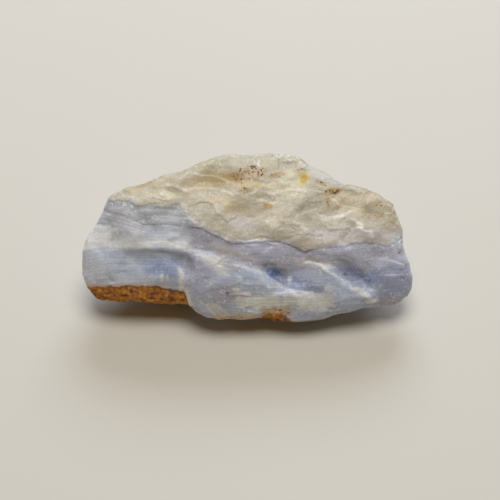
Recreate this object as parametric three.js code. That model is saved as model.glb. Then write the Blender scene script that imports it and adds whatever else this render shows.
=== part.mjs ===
// A rough piece of blue lace agate, broken from a vein: one solid stone, in millimetres.
//
// It stands on z = 0 with +z up, x runs along its length, and its broken, banded face looks
// towards -y and up. The layers of the vein cross that face: rusty wall rock along its foot,
// then banded chalcedony, then coarse quartz up to the crest.
//
// Most of the stone is laid out on the broken face: x along the stone, "up" across the layers,
// "out" square to the face. faceToGround sets that frame on the ground.
//
// Every form is a function of a point that gives its distance from the surface, negative inside.
// Convex lumps are joined, hollows and flakes are taken off them, and the underside is level
// where the stone rests. A box of triangles is drawn in onto the whole and spread over it evenly.

import * as THREE from 'three';
import { ConvexHull } from 'three/addons/math/ConvexHull.js';
import { mergeVertices } from 'three/addons/utils/BufferGeometryUtils.js';

// How far the up direction of the broken face rises from level, and where its origin stands.
const FACE_RISE = THREE.MathUtils.degToRad(38);
const FACE_ORIGIN = [0, -2.3, 19];

const faceToGround = new THREE.Matrix4()
  .makeRotationX(FACE_RISE)
  .setPosition(...FACE_ORIGIN);
const groundToFace = faceToGround.clone().invert();

// A point given on the broken face, and one given where it stands.
const face = (x, up, out) => new THREE.Vector3(x, up, out).applyMatrix4(faceToGround);
const ground = (x, y, z) => new THREE.Vector3(x, y, z);

// The larger and the smaller of two distances, with the crease between them rounded.
function roundedMax(a, b, radius) {
  const near = Math.max(radius - Math.abs(a - b), 0) / radius;
  return Math.max(a, b) + near * near * radius / 4;
}
const roundedMin = (a, b, radius) => -roundedMax(-a, -b, radius);

// A convex lump through its corner points, with its arrises worn to a softness. The wear would
// leave it too small, so it is first made larger all round.
const ALLOWED_FOR_WEAR = 1.2;

function lump(softness, ...corners) {
  const SAME = 1e-3;
  const planes = [];
  for (const { normal, constant } of new ConvexHull().setFromPoints(corners.flat()).faces) {
    const known = planes.some((p) => p.normal.distanceTo(normal) < SAME
      && Math.abs(p.constant - constant) < SAME);
    if (!known) planes.push({ normal: normal.clone(), constant });
  }
  return (point) => {
    const depths = planes.map(({ normal, constant }) => normal.dot(point) - constant);
    const most = Math.max(...depths);
    const sum = depths.reduce((total, d) => total + Math.exp((d - most) / softness), 0);
    return most + softness * (Math.log(sum) - ALLOWED_FOR_WEAR);
  };
}

// The outline of the stone, seen square to its broken face, from the left end over the crest.
const OUTLINE = [
  [-40.2, -4], [-39, 0], [-37.2, 2], [-35.8, 2.8], [-35, 6], [-33.6, 9.8], [-32.6, 10.6],
  [-29.8, 11.6], [-23.8, 13.2], [-20, 14.4], [-15.4, 15.9], [-11.4, 18.2], [-5.6, 19.7],
  [-2.4, 20.5], [4, 20.7], [10.2, 19.8], [12.6, 18.8], [14.8, 16.7], [16.6, 16.4],
  [19.4, 15.1], [22.4, 13], [28.4, 12.2], [31.2, 11.2], [33.4, 9.3], [35.4, 8.3], [36.6, 5.4],
  [37.2, 2.6], [37.3, -0.8], [37.8, -3.4], [39.6, -6.8], [40.6, -9.6], [40.6, -12.2],
  [39.4, -14.4], [35.6, -16.8], [29.6, -17.3], [24.6, -17.8], [20.4, -18.8], [17.8, -20],
  [13.6, -20.7], [10.2, -20.9], [7.6, -20.3], [5.2, -19.1], [1.6, -19.2], [-2, -19.7],
  [-6.3, -20.2], [-9.8, -19.3], [-13.2, -17.8], [-14.2, -15.8], [-15, -16.3], [-21.4, -16],
  [-26, -15.4], [-31, -15.5], [-34.8, -15.2], [-37.6, -14.3], [-39.5, -12], [-40.2, -9.2],
];
// The stone narrows behind its face by this share of the depth, and is this much fuller than
// the outline before its rim is rounded.
const NARROWING = 0.2;
const FULLNESS = 0.8;

// Distance from the outline, of a point in the face's frame.
function fromOutline({ x, y: up, z: out }) {
  let nearest = Infinity;
  let inside = false;
  OUTLINE.forEach(([ax, au], i) => {
    const [bx, bu] = OUTLINE[(i + 1) % OUTLINE.length];
    const [dx, du] = [bx - ax, bu - au];
    const share = THREE.MathUtils.clamp(((x - ax) * dx + (up - au) * du) / (dx * dx + du * du), 0, 1);
    nearest = Math.min(nearest, Math.hypot(x - ax - share * dx, up - au - share * du));
    if ((au > up) !== (bu > up) && x < ax + (up - au) * dx / du) inside = !inside;
  });
  return (inside ? -nearest : nearest) + NARROWING * Math.max(-out, 0) - FULLNESS;
}

// The main mass: a ridge of quartz along the top, the break in slope under it, and the foot.
const mainMass = lump(
  0.35,
  // crest
  face(-38.5, 2, -2.4), face(-35.5, 9.6, -1.5), face(-33, 11, 0.6), face(-24, 14.6, 0.4), face(-12, 18.6, -0.2),
  face(-3, 21.4, -2.6), face(10, 20.8, -2.8), face(15.5, 17, -1.6), face(24, 12.8, -0.9),
  face(32.8, 12.8, -2.2), face(39.2, 8.2, -3.2), face(39.8, 0, -4.2),
  // break in slope
  face(-31, 6, 2.3), face(-23, 6.5, 3.1), face(-14, 5, 3.6), face(-4, -1, 4),
  face(5, -1, 4.1), face(14, -3, 3.8), face(25, -1.8, 3.3), face(33, -2.2, 1.3),
  face(38.4, -3, -1.6),
  // the banded strip under it
  face(-12, -2.5, 3.7), face(-1, -6, 3.2), face(14, -7.2, 2.3), face(26, -6.8, 1.9),
  face(36.4, -6.6, -0.2),
  // foot of the face
  ground(-37, -9, 8), ground(-30, -11, 6), ground(-14, -12.5, 4.6), ground(2, -13.5, 4),
  ground(20, -12, 3.6), ground(33, -8, 4.6), ground(39, -6, 8.4),
  // underside, a little below the level that it is cut to
  ground(-16, -6, -0.8), ground(18, -7, -0.8), ground(14, 6, -0.8), ground(-12, 7, -0.8),
  // back
  ground(-34, 3, 8), ground(-36, 2, 15), ground(-33, 7, 23), ground(-22, 15, 11),
  ground(-21, 14, 23), ground(-6, 18.5, 12), ground(-4, 19, 23), ground(11, 18.6, 10),
  ground(13, 18, 22), ground(27, 12.5, 9), ground(29, 12, 20), ground(38, 4, 12),
  ground(37.5, 3, 17),
);

// The thick lip across the left of the face, over the smooth blue band and the rusty wall rock.
const leftLip = lump(
  0.4,
  face(-38, 6, -1.6), face(-33, 7, 1.3), face(-24, 6.6, 2.8), face(-14.6, 5.2, 3.4),
  face(-40.4, 1.6, -1.4), face(-34, 2.4, 1.6), face(-25, 2.2, 3), face(-14.4, 1.2, 3.9),
  face(-42.6, -3.4, -3), face(-37, -3, 1.4), face(-26, -2.8, 3.3), face(-14.4, -2.6, 4.2),
  face(-42.6, -9.5, -3.4), face(-37, -11.8, -0.8), face(-24, -11.8, 0.2), face(-14.4, -12.4, 0.8),
  face(-40, -15, -4), face(-34, -17, -3.4), face(-24, -17.2, -3), face(-14.4, -17.6, -2.6),
  face(-37, -6, -12), face(-30, -8, -14), face(-14.4, -8, -14),
);

// Three shingles of broken agate step down across the lower face, each crest running down to the
// right over the hollow that the next one rises from.
const nearShingle = lump(
  0.3,
  face(-15, -2.2, 4), face(-11.6, -4.2, 4.1), face(-5.6, -5.9, 3.9), face(-0.7, -7.6, 3.8),
  face(3.4, -8.5, 3.7), face(7.7, -11.4, 3), face(11.9, -13.6, 2.2), face(18, -15.6, 0.8),
  face(-15, -12.4, 2.4), face(-8, -13, 2.9), face(0, -12.8, 2.9), face(7, -13.8, 2.4),
  face(-14.6, -17, -1), face(-9.7, -20.6, -1.8), face(-6.3, -21.6, -2.2),
  face(3, -21.4, -1.8), face(10.2, -22.4, -2.2), face(18, -21.4, -2.8), face(21, -20, -3),
  face(-15, -8, -10), face(0, -10, -12), face(18, -12, -10),
);
const middleShingle = lump(
  0.3,
  face(8, -7.4, 0.9), face(13, -6.6, 2), face(18, -7.2, 2.7), face(20.5, -8.6, 2.8),
  face(24, -11.2, 2.4), face(27.4, -12.9, 1.7), face(31, -15, 0.6),
  face(8, -11, 0.6), face(14, -14, 1.2), face(22, -16.4, 0),
  face(14, -19.4, -2), face(25, -19.4, -2.6), face(33, -18.8, -3.2),
  face(8, -10, -10), face(28, -11, -10),
);
const rightLobe = lump(
  0.6,
  face(27, -6.2, 1.2), face(33, -4.8, 1.3), face(38, -4.4, -0.4), face(41, -7, -2.2),
  face(43.2, -10.5, -3.4), face(42.2, -14.2, -4.6), face(38, -18, -5.6), face(28, -18.8, -5.4),
  face(29, -10, 0.6), face(34.4, -9.6, 1.2), face(38, -10.6, -0.4), face(34.6, -14.4, -0.8),
  ground(39, -2, 9.4), ground(34, -4, 7.4), ground(28, -4, 15),
);

// A hollow struck out of the face: at is the middle of its mouth, mouth its half sizes along x
// and up the face, and turn swings it in the plane of the face. It is part of an ellipsoid whose
// middle sits two depths out from the surface.
function hollow({ at: [x, up, out], mouth: [halfX, halfUp], depth, turn = 0 }) {
  const RAISED = 2;
  const mouthShare = Math.sqrt(1 - (RAISED / (RAISED + 1)) ** 2);
  const radii = new THREE.Vector3(halfX / mouthShare, halfUp / mouthShare, (RAISED + 1) * depth);
  const middle = new THREE.Vector3(x, up, out + RAISED * depth);
  const swing = -THREE.MathUtils.degToRad(turn);
  return (onFace) => {
    const q = onFace.clone().sub(middle).applyAxisAngle(new THREE.Vector3(0, 0, 1), swing).divide(radii);
    const reach = q.length();
    return reach * (reach - 1) / Math.max(q.divide(radii).length(), 1e-6);
  };
}

const HOLLOWS = [
  // the smooth blue band, deepest at its right end
  { at: [-27, -7.6, 1.5], mouth: [11, 3.6], depth: 0.5, turn: 2 },
  { at: [-19.2, -7.4, 2.2], mouth: [5, 3.4], depth: 0.7 },
  // the two deep blue hollows behind the shingles
  { at: [8.2, -10, 1], mouth: [4.4, 1.5], depth: 1.2, turn: -38 },
  { at: [26.4, -9.4, 1.3], mouth: [5.8, 2.3], depth: 1.3, turn: -28 },
  // dishes in the quartz above
  { at: [-6.5, 14.4, 0.7], mouth: [7.6, 2.8], depth: 0.5, turn: 4 },
  { at: [-19.5, 11.8, 1.6], mouth: [3.6, 1.4], depth: 0.5, turn: -18 },
  { at: [17.6, 9.4, 1.4], mouth: [5, 3.8], depth: 0.5, turn: -30 },
  { at: [29, 7.6, 0.1], mouth: [5.4, 3], depth: 0.5, turn: -14 },
  { at: [4, 7, 2.4], mouth: [6.6, 2], depth: 0.4, turn: 3 },
].map(hollow);

// A wide blow on the back, the ends or the underside: a sphere that bites to a given depth at a
// point of the surface, coming in along a direction.
function blow({ at, from, radius, bite }) {
  const centre = ground(...at).addScaledVector(ground(...from).normalize(), radius - bite);
  return (point) => point.distanceTo(centre) - radius;
}

const BLOWS = [
  { at: [-14, 17, 18], from: [-0.35, 1, 0.1], radius: 26, bite: 1.6 },
  { at: [16, 18, 15], from: [0.35, 1, -0.15], radius: 22, bite: 1.5 },
  { at: [-34, 11, 13], from: [-0.8, 0.6, 0.1], radius: 16, bite: 1 },
  { at: [4, 17, 6], from: [0.1, 0.8, -0.7], radius: 20, bite: 1.6 },
  { at: [-27, 0, 5], from: [-0.3, 0, -1], radius: 24, bite: 1.2 },
  { at: [30, 0, 5], from: [0.3, 0.1, -1], radius: 22, bite: 1.3 },
].map(blow);

// Unevenness, as a smooth push in space: crossed waves, coarse ones with finer ones on them.
const SWELLS = [
  { reach: 0.34, length: 19 },
  { reach: 0.14, length: 8 },
  { reach: 0.06, length: 4.3 },
];

function pushed(point) {
  const push = new THREE.Vector3();
  SWELLS.forEach(({ reach, length }, level) => {
    const [a, b, c] = point.clone().multiplyScalar(2 * Math.PI / length).toArray();
    const wave = (p, q, r, start) => Math.sin(p + 1.6 * Math.sin(0.8 * q + 0.5 * r + start) + 2 * level);
    push.x += reach * wave(b, c, a, 1.1);
    push.y += reach * wave(c, a, b, 2.3);
    push.z += reach * wave(a, b, c, 4.2);
  });
  return push.add(point);
}

const RIM_ROUNDING = 1.4;
const CREASE_ROUNDING = 0.3;

// The whole stone: its distance from a point on the ground's frame.
function agateForm(place) {
  const point = pushed(place);
  const onFace = point.clone().applyMatrix4(groundToFace);
  let form = mainMass(point);
  for (const part of [leftLip, nearShingle, middleShingle, rightLobe]) {
    form = roundedMin(form, part(point), CREASE_ROUNDING);
  }
  form = roundedMax(form, fromOutline(onFace), RIM_ROUNDING);
  for (const cut of HOLLOWS) form = roundedMax(form, -cut(onFace), CREASE_ROUNDING);
  for (const cut of BLOWS) form = roundedMax(form, -cut(point), CREASE_ROUNDING);
  return Math.max(form, -place.z);
}

const AXES = [ground(1, 0, 0), ground(0, 1, 0), ground(0, 0, 1)];

// The way out of a form at a point.
function slope(form, point) {
  const STEP = 0.02;
  return ground(...AXES.map((axis) => form(point.clone().addScaledVector(axis, STEP))
    - form(point.clone().addScaledVector(axis, -STEP)))).normalize();
}

// A point moved along the slope of a form until it lies on its surface.
function landed(form, point) {
  const at = point.clone();
  for (let turn = 0; turn < 3; turn += 1) at.addScaledVector(slope(form, at), -form(at));
  return at;
}

// A box of even cells round the stone, and the line inside it that its vertices start towards.
const BOX = { size: [82, 38, 33], cells: [47, 21, 18], middle: ground(0, 1.5, 14.5) };
const CORE_HALF_LENGTH = 24;

// The box's vertices drawn in along straight lines until each one meets the form.
function wrapped(form, positions) {
  for (let i = 0; i < positions.count; i += 1) {
    const from = new THREE.Vector3().fromBufferAttribute(positions, i);
    const core = ground(from.x / (BOX.size[0] / 2) * CORE_HALF_LENGTH, 0, 0);
    const way = core.clone().sub(from).normalize();
    const at = from.add(BOX.middle);
    for (let step = 0; step < 80; step += 1) {
      const gap = form(at);
      if (gap < 0.01) break;
      at.addScaledVector(way, 0.7 * gap);
    }
    positions.setXYZ(i, ...at.toArray());
  }
}

// The vertices joined to each vertex of an indexed skin.
function neighboursOf(index, count) {
  const joined = Array.from({ length: count }, () => new Set());
  for (let i = 0; i < index.count; i += 3) {
    const corners = [0, 1, 2].map((turn) => index.getX(i + turn));
    corners.forEach((a) => corners.forEach((b) => a !== b && joined[a].add(b)));
  }
  return joined.map((set) => [...set]);
}

// Slides the vertices over the surface until they are evenly spread.
function spread(form, points, neighbours, turns) {
  for (let turn = 0; turn < turns; turn += 1) {
    const moved = points.map((point, i) => {
      const mean = new THREE.Vector3();
      for (const j of neighbours[i]) mean.addScaledVector(points[j], 1 / neighbours[i].length);
      return landed(form, mean);
    });
    moved.forEach((point, i) => points[i].copy(point));
  }
}

// Draws each vertex to the crease or corner where the planes of its neighbours meet, if one is
// within reach.
function creased(form, points, neighbours, reach) {
  const normals = points.map((point) => slope(form, point));
  const moved = points.map((point, i) => {
    const best = point.clone();
    for (let turn = 0; turn < 30; turn += 1) {
      const pull = new THREE.Vector3();
      for (const j of [i, ...neighbours[i]]) {
        const over = normals[j].dot(best.clone().sub(points[j]));
        pull.addScaledVector(normals[j], -over / (neighbours[i].length + 1));
      }
      best.add(pull);
    }
    return best.sub(point).clampLength(0, reach).add(point);
  });
  moved.forEach((point, i) => points[i].copy(landed(form, point)));
}

function stoneGeometry() {
  const box = new THREE.BoxGeometry(...BOX.size, ...BOX.cells);
  box.deleteAttribute('normal');
  box.deleteAttribute('uv');
  const geometry = mergeVertices(box);
  const { position } = geometry.attributes;
  wrapped(agateForm, position);
  const points = Array.from(
    { length: position.count },
    (_, i) => new THREE.Vector3().fromBufferAttribute(position, i),
  );
  const neighbours = neighboursOf(geometry.index, position.count);
  spread(agateForm, points, neighbours, 10);
  creased(agateForm, points, neighbours, 0.5);
  const LEVEL_WITHIN = 0.06;
  points.forEach(({ x, y, z }, i) => position.setXYZ(i, x, y, z < LEVEL_WITHIN ? 0 : z));
  geometry.computeBoundingBox();
  const middle = geometry.boundingBox.getCenter(new THREE.Vector3());
  geometry.translate(-middle.x, -middle.y, -geometry.boundingBox.min.z);
  geometry.computeVertexNormals();
  return geometry;
}

const stone = new THREE.Mesh(
  stoneGeometry(),
  new THREE.MeshStandardMaterial({ color: 0xaab0bf, roughness: 0.55, metalness: 0 }),
);
stone.name = 'blue_lace_agate';

const agate = new THREE.Group();
agate.add(stone);

export default agate;
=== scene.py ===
"""A rough piece of blue lace agate, broken from a vein, lying on a pale table.

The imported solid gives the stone's size and main forms. Here its skin is made fine enough for the
broken surface of each layer, every layer gets its colour, and the stone is lit and seen as in the
photograph. Lengths are metres in Blender and millimetres in the stone's own rules.
"""
import logging
import math
from dataclasses import dataclass, field
from enum import Enum
from typing import Any

import bmesh
import bpy
import numpy as np
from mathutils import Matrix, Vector, noise
from mathutils.kdtree import KDTree
from numpy.typing import NDArray


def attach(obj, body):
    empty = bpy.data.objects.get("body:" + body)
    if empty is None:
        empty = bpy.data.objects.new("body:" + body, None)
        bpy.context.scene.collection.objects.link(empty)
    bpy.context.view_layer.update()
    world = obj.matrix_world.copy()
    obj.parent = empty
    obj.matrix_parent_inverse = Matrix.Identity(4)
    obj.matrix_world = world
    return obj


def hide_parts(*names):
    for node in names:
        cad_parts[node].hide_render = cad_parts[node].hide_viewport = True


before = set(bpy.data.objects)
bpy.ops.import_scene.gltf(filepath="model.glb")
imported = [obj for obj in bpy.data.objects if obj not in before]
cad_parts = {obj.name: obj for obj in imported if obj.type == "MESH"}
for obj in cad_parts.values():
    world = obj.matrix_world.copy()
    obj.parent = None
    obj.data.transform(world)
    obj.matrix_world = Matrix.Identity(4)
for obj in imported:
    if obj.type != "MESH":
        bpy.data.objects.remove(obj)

Array = NDArray[np.float64]

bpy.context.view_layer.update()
NODE = "blue_lace_agate"
BODY = "root"
MM = 0.001

# A colour Mix node's inputs, by number because it repeats their names for its other types.
SHARE, BASE, TOP = 0, 6, 7

log = logging.getLogger("agate")


# Colours and small helpers.

def linear(hex_colour: str) -> tuple[float, float, float, float]:
    """Turns an sRGB hex colour into linear red, green, blue and a full alpha.

    Args:
        hex_colour: six hex digits, with or without a leading hash.

    Returns:
        The linear colour with alpha 1.
    """
    digits = hex_colour.lstrip("#")
    channels = [int(digits[i:i + 2], 16) / 255 for i in (0, 2, 4)]
    r, g, b = (c / 12.92 if c <= 0.04045 else ((c + 0.055) / 1.055) ** 2.4 for c in channels)
    return r, g, b, 1.0


def ramp(values: Array, low: float, high: float) -> Array:
    """A smooth step from 0 at low to 1 at high.

    Args:
        values: the values to judge.
        low: where the step starts. It may be above high, for a falling step.
        high: where the step ends.

    Returns:
        Numbers from 0 to 1.
    """
    share = np.clip((values - low) / (high - low), 0, 1)
    return share * share * (3 - 2 * share)


def bell(values: Array, width: float) -> Array:
    """A bell that is 1 at zero and fades over a width."""
    return np.exp(-((values / width) ** 2))


def add_node(tree: bpy.types.NodeTree, kind: str, links: dict[str | int, Any] | None = None,
             **settings: Any) -> bpy.types.Node:
    """Adds a node with its settings and inputs.

    Args:
        tree: the node tree it goes into.
        kind: the node's type name.
        links: what each input gets, by name or number: an output socket, a node whose first live
            output is joined, or a plain value.
        **settings: the node's own properties.

    Returns:
        The new node.
    """
    node = tree.nodes.new(kind)
    for name, value in settings.items():
        setattr(node, name, value)
    for key, value in (links or {}).items():
        if isinstance(value, bpy.types.Node):
            value = next(output for output in value.outputs if output.enabled)
        if isinstance(value, bpy.types.NodeSocket):
            tree.links.new(value, node.inputs[key])
        else:
            node.inputs[key].default_value = value
    return node


def noise_at(points: Array, size: float, seed: float, octaves: int = 1) -> Array:
    """Smooth noise in space.

    Args:
        points: places in millimetres, one row each.
        size: the size of the noise's lumps in millimetres.
        seed: moves the noise, so that two fields differ.
        octaves: how many finer layers are added, each half the size and half the strength.

    Returns:
        One number from about -1 to 1 for each place.
    """
    total = np.zeros(len(points))
    strength = 1.0
    for _ in range(octaves):
        places = points / size + seed
        total += strength * np.array([noise.noise(Vector(p)) for p in places])
        size, strength, seed = size / 2, strength / 2, seed + 17.3
    return total


@dataclass(frozen=True)
class Shards:
    """Which shard of broken stone each place lies in, and where in it."""

    seed: int
    number: NDArray[np.int64]
    offset: Array

    def drawn(self, columns: int) -> Array:
        """Random numbers from 0 to 1 that stay the same all over a shard."""
        table = np.random.default_rng(self.seed).random((int(self.number.max()) + 1, columns))
        return table[self.number]

    def facets(self, slope: float, ledge: float) -> Array:
        """Flat facets, each shard leaning its own way and standing at a height of its own.

        Args:
            slope: how steeply the steepest facet leans.
            ledge: how far the highest facet stands over the lowest, in millimetres.

        Returns:
            The lift of each place in millimetres.
        """
        drawn = self.drawn(4) - 0.5
        return (self.offset * drawn[:, :3] * 2 * slope).sum(axis=1) + ledge * drawn[:, 3]


@dataclass(frozen=True)
class Fracture:
    """Irregular cells through the stone, as crystals and splinters break it."""

    size: float
    seed: int
    stretch: tuple[float, float, float]

    def shards(self, places: Array) -> Shards:
        """Finds the cell that each place lies in.

        Args:
            places: points in millimetres, one row each.

        Returns:
            Each place's shard, with its offset from the shard's middle in millimetres.
        """
        scale = self.size * np.array(self.stretch)
        scaled = places / scale
        low, high = scaled.min(axis=0) - 1, scaled.max(axis=0) + 1
        count = int(np.prod(high - low))
        middles = np.random.default_rng(self.seed).uniform(low, high, (count, 3))
        tree = KDTree(count)
        for number, middle in enumerate(middles):
            tree.insert(middle, number)
        tree.balance()
        nearest = np.array([tree.find(place)[1] for place in scaled])
        return Shards(self.seed + 1, nearest, (scaled - middles[nearest]) * scale)


# The stone's layout.

@dataclass(frozen=True)
class FaceFrame:
    """The broken face's own directions: x along it, up across the layers, out of the face."""

    rise: float = math.radians(38)
    origin: tuple[float, float, float] = (0.07, -3.19, 19.0)

    @property
    def up(self) -> Array:
        """The direction across the layers."""
        return np.array([0, math.cos(self.rise), math.sin(self.rise)])

    @property
    def out(self) -> Array:
        """The direction square to the face."""
        return np.array([0, -math.sin(self.rise), math.cos(self.rise)])

    def laid_out(self, points: Array) -> tuple[Array, Array, Array]:
        """Each point's x, up and out in millimetres.

        Args:
            points: places in the part's frame, in millimetres.

        Returns:
            Three arrays, one for each direction.
        """
        from_origin = points - np.array(self.origin)
        return from_origin[:, 0], from_origin @ self.up, from_origin @ self.out


@dataclass(frozen=True)
class Trace:
    """A line along the face, given by points of x and up, and straight beyond its ends."""

    points: tuple[tuple[float, float], ...]

    def height(self, x: Array) -> Array:
        """How far up the face the line is at each x."""
        along, up = zip(*self.points)
        return np.interp(x, along, up)


@dataclass(frozen=True)
class Rib:
    """A thin broken edge that runs over the face, white partly from bruising and partly from
    painted glints of light along it.
    """

    points: tuple[tuple[float, float], ...]
    width: float = 0.5
    height: float = 0.25
    # how white the edge is drawn: bruise and painted glint together
    white: float = 0.6

    def nearness(self, x: Array, up: Array) -> Array:
        """How near each place is to the edge, from 0 to 1 on it.

        Args:
            x: places along the face.
            up: places up the face.

        Returns:
            A bell over the distance to the edge.
        """
        nearest = np.full(len(x), np.inf)
        for (ax, au), (bx, bu) in zip(self.points, self.points[1:]):
            dx, du = bx - ax, bu - au
            share = np.clip(((x - ax) * dx + (up - au) * du) / (dx * dx + du * du), 0, 1)
            nearest = np.minimum(nearest, np.hypot(x - ax - share * dx, up - au - share * du))
        return bell(nearest, self.width)


# The dark line between the coarse quartz and the banded chalcedony.
SEAM = Trace((
    (-42, 8), (-36, 7), (-31.3, 5.6), (-27, 4), (-24.7, 2.9), (-20.7, 3.1), (-15.6, 2.6),
    (-12.1, 2.3), (-7, -0.2), (-3.9, -1.5), (-0.8, -1.6), (2.4, -1.3), (5.5, -1), (7, -1),
    (9.5, -1.7), (11.8, -2.7), (13.5, -3.6), (15.2, -3), (18, -2.5), (23.2, -2.4), (25, -1.7),
    (28.1, -1.4), (30.3, -1.4), (32.4, -1.9), (33.7, -2.4), (35.4, -1.6), (37, -0.2), (40, 1.5),
))
# Where cream quartz ends over the lilac bands, which reach higher on the left.
CREAM_EDGE = Trace((
    (-42, 9), (-34, 9), (-32, 8.9), (-29, 8.8), (-26.8, 7.5), (-23, 8.1), (-19.4, 7.6),
    (-16.8, 8.3), (-15, 6), (-13.6, 3.6), (-12, 2.6), (-7, 0.1), (-3.9, -1.2), (2.4, -1), (7, -0.8),
    (11.8, -2.4), (13.5, -3.3), (18, -2.2), (25, -1.4), (30.3, -1.1), (34.2, -1.9), (40, 1.7),
))
# The sharp line between the white lip and the blue band, which runs on under the grey strip.
BLUE_TOP = Trace((
    (-42, -3.8), (-38, -3.2), (-34, -2.6), (-28.6, -2.7), (-20, -2.8), (-14.2, -3), (-11.5, -5),
    (-6, -8), (2, -8.6), (14, -8.4), (22, -7.6), (36, -7.2), (42, -6),
))
# The top of the rusty wall rock along the stone's foot.
RIND_TOP = Trace((
    (-42, -10.8), (-38.2, -12.1), (-31, -11.9), (-26.5, -11.8), (-21.7, -12), (-18, -12.9),
    (-15.6, -13.2), (-14.9, -14.4), (-14.2, -17.4), (-10, -19.8), (-4, -20), (3, -19.8),
    (5, -18.6), (8, -18.4), (11, -20.4), (14, -22.5), (20, -22.5), (32, -19.5), (42, -18),
))
# How thick the strip between the seam and the blue band is at most, in millimetres.
STRIP_THICKNESS = 6.0
# How the chalcedony splinters along its layers, and the quartz into blocks and single crystals.
SPLINTERS = Fracture(2.6, 11, (2.4, 0.7, 1.2))
BLOCKS = Fracture(5.2, 23, (1.5, 0.8, 1))
CRYSTALS = Fracture(2.1, 37, (1.2, 0.9, 1))
# The crests of the two shingles that step down the lower face.
NEAR_CREST = Trace((
    (-14.6, -1.6), (-12, -4), (-8.8, -5.4), (-4, -6.4), (-0.6, -7.2), (2.6, -8), (6.6, -10.2),
    (8.6, -11.7), (10.4, -12.6), (14, -13.3), (17, -13.6), (19.4, -15.6),
))
MIDDLE_CREST = Trace((
    (14, -6), (17.6, -6.6), (19.8, -8.2), (22, -9.6), (25, -10.8), (27.4, -12.4), (29.2, -13.4),
    (30.6, -15),
))


class Shade(Enum):
    """The stone's colours, as the eye sees them in even light; a few also carry painted shade or
    painted glints.
    """

    CREAM_QUARTZ = "c4bead"
    GREY_QUARTZ = "b0ac9f"
    CLEAR_QUARTZ = "a3a091"
    PALE_LOBE = "b3ae9b"
    TAN_QUARTZ = "bbac87"
    WHITE_FLAKE = "cec9b4"
    YELLOW_FLAKE = "cfc59e"
    PINK_QUARTZ = "b7b4b6"
    LILAC = "b3bac5"
    LILAC_PINK = "c9cddf"
    LILAC_DEEP = "a8afc1"
    LILAC_GREY = "999da3"
    WHITE_LIP = "cbd1d9"
    PALE_GREY = "ccd2e0"
    SKY_BLUE = "b9c3d5"
    BLUE = "b0bcd6"
    BLUE_DEEP = "a3b3d9"
    BLUE_DARK = "8d9cc2"
    PALE_BLUE = "c3d4ed"
    # the band's blue in the shingles' hollows, darkened with painted shade
    SHADED_HOLLOW_BLUE = "8193c8"
    SHADED_HOLLOW_DARK = "8c99bc"
    SHADED_LILAC = "acb1cc"
    STRIP = "b1b6cc"
    STRIP_BROWN = "c8c7cc"
    # the seam's own dark, with a painted shadow under the quartz's edge
    SEAM_AND_SHADOW_LINE = "706f8a"
    LOBE_BLUE = "99a3c3"
    SUGAR_WHITE = "e2e7ef"
    # white of bruised stone, and in some marks painted glints where light catches small facets
    BRUISE_AND_GLINT = "e6e6e2"
    COOL_RIM = "c2c6ce"
    RUST = "a8702c"
    RUST_BRIGHT = "d29a4c"
    RUST_DEEP = "5c3514"
    PEACH = "d6b69a"
    RUST_SPOT = "a67d24"
    OCHRE = "bfa640"
    OCHRE_HALO = "d0c490"
    BROWN_FACET = "a8a4b4"
    PALE_FOOT = "c6c8c6"
    GREEN_WHITE = "d8dcda"

    @property
    def colour(self) -> Array:
        """The linear colour."""
        return np.array(linear(self.value)[:3])


@dataclass(frozen=True)
class Mark:
    """A soft-edged patch of colour on the face, as a stain, a flake or a clear spot leaves it; some
    marks are painted glints, painted light or painted shade instead.
    """

    shade: Shade
    at: tuple[float, float]
    half_size: tuple[float, float]
    turn: float = 0.0
    strength: float = 0.7
    softness: float = 0.6
    ragged: float = 0.5
    pits: float = 0.0

    def cover(self, x: Array, up: Array, ragged: Array) -> Array:
        """How much of the patch covers each point.

        Args:
            x: places along the face.
            up: places up the face.
            ragged: noise from about -1 to 1, which breaks the patch's edge.

        Returns:
            Numbers from 0 to the patch's strength.
        """
        angle = math.radians(self.turn)
        dx, du = x - self.at[0], up - self.at[1]
        along = (dx * math.cos(angle) + du * math.sin(angle)) / self.half_size[0]
        across = (du * math.cos(angle) - dx * math.sin(angle)) / self.half_size[1]
        reach = np.hypot(along, across) + self.ragged * ragged
        return self.strength * ramp(reach, 1 + self.softness / 2, 1 - self.softness / 2)


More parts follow.
